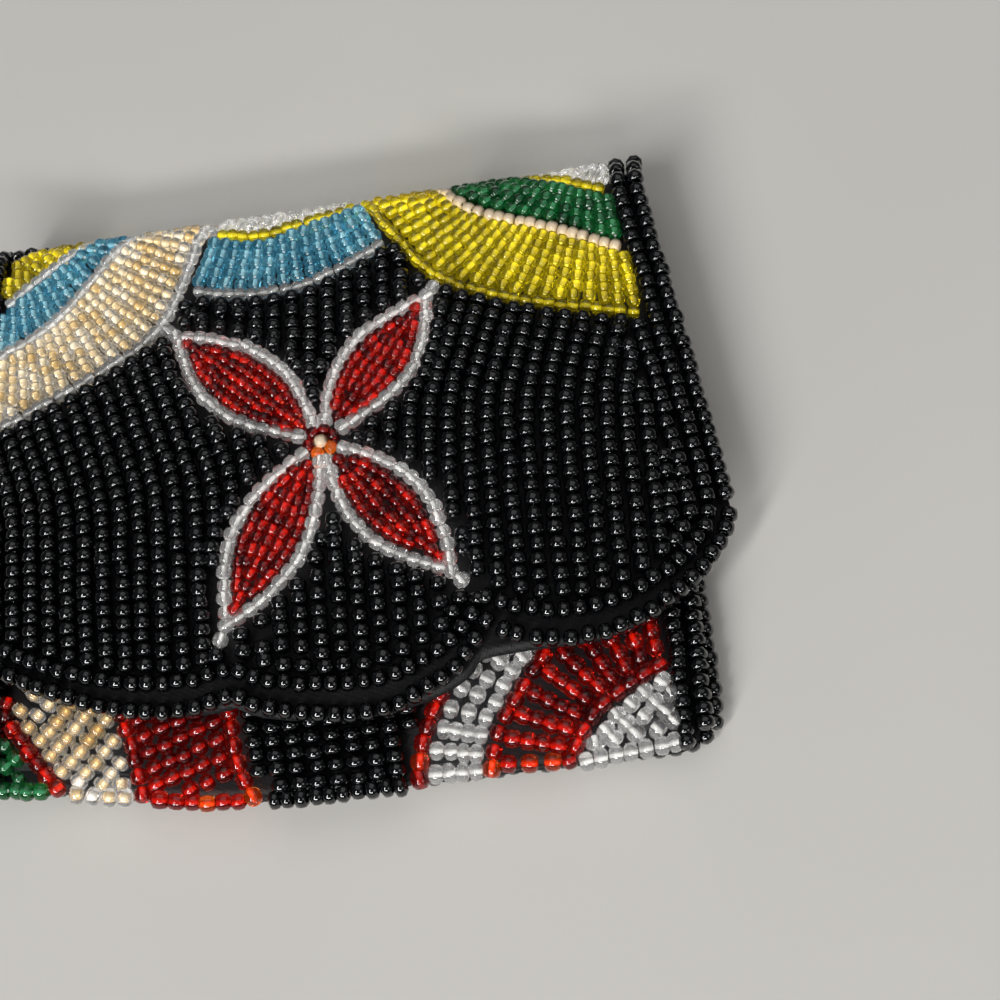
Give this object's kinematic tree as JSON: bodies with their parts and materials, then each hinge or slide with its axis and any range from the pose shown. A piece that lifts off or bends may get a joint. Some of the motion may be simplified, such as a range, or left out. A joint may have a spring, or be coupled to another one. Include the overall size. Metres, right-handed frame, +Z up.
{
  "type": "beaded coin purse",
  "caption": "Flat fold-over coin purse of black satin covered in rows of glass seed beads, with a scalloped flap, a beaded flower and coloured bands.",
  "frame": {"origin": "on the surface the purse lies on, under the middle of its outline", "axes": "+X across the purse to the right, +Y from the bottom seam to the fold, +Z up out of the flap"},
  "size_m": [0.1028, 0.0842, 0.0161],
  "materials": {
    "satin": "satin",
    "lining": "plain weave",
    "snap_metal": "polished",
    "black_beads": "polished, opaque",
    "red_beads": "polished",
    "clear_beads": "polished",
    "gold_lined_beads": "polished, gold-lined",
    "yellow_beads": "polished",
    "green_beads": "polished",
    "blue_beads": "polished",
    "cream_beads": "polished, opaque"
  },
  "bodies": {
    "root": {"back_and_flap_cloth": "satin", "front_cloth": "satin", "lining": "lining", "snap_socket": "snap_metal", "snap_stud": "snap_metal", "black_ground_upper": "black_beads", "black_ground": "black_beads", "back_black_rows": "black_beads", "edge_strand_right_lobe": "black_beads", "edge_strand_middle_lobe": "black_beads", "edge_strand_left_lobe": "black_beads", "edge_strand_right_side": "black_beads", "edge_strand_left_side": "black_beads", "front_black_middle": "black_beads", "front_black_edge_right": "black_beads", "front_black_edge_left": "black_beads", "seam_edging": "black_beads", "petal_upper_left": "red_beads", "petal_upper_right": "red_beads", "petal_lower_right": "red_beads", "petal_lower_left": "red_beads", "flower_middle": "red_beads", "front_red_panel": "red_beads", "front_red_arch": "red_beads", "front_strand_red_left": "red_beads", "front_strand_panel_left": "red_beads", "front_strand_panel_right": "red_beads", "front_strand_red_right": "red_beads", "front_strand_arch_left": "red_beads", "front_strand_arch_right": "red_beads", "clear_rows_behind_arc": "clear_beads", "clear_corner": "clear_beads", "gold_band_lower_rim": "clear_beads", "gold_band_upper_rim": "clear_beads", "left_blue_band_rim": "clear_beads", "blue_arc_clear_rim": "clear_beads", "petal_upper_left_outline": "clear_beads", "petal_upper_right_outline": "clear_beads", "petal_lower_right_outline": "clear_beads", "petal_lower_left_outline": "clear_beads", "front_clear_panel": "clear_beads", "front_clear_corner": "clear_beads", "gold_band": "gold_lined_beads", "front_gold_panel": "gold_lined_beads", "left_yellow_band": "yellow_beads", "yellow_band": "yellow_beads", "blue_arc_yellow_rim": "yellow_beads", "yellow_band_rim": "yellow_beads", "green_band_yellow_rim": "yellow_beads", "green_band": "green_beads", "front_green_corner": "green_beads", "left_blue_band": "blue_beads", "blue_arc": "blue_beads", "cream_line": "cream_beads"}
  },
  "joints": []
}
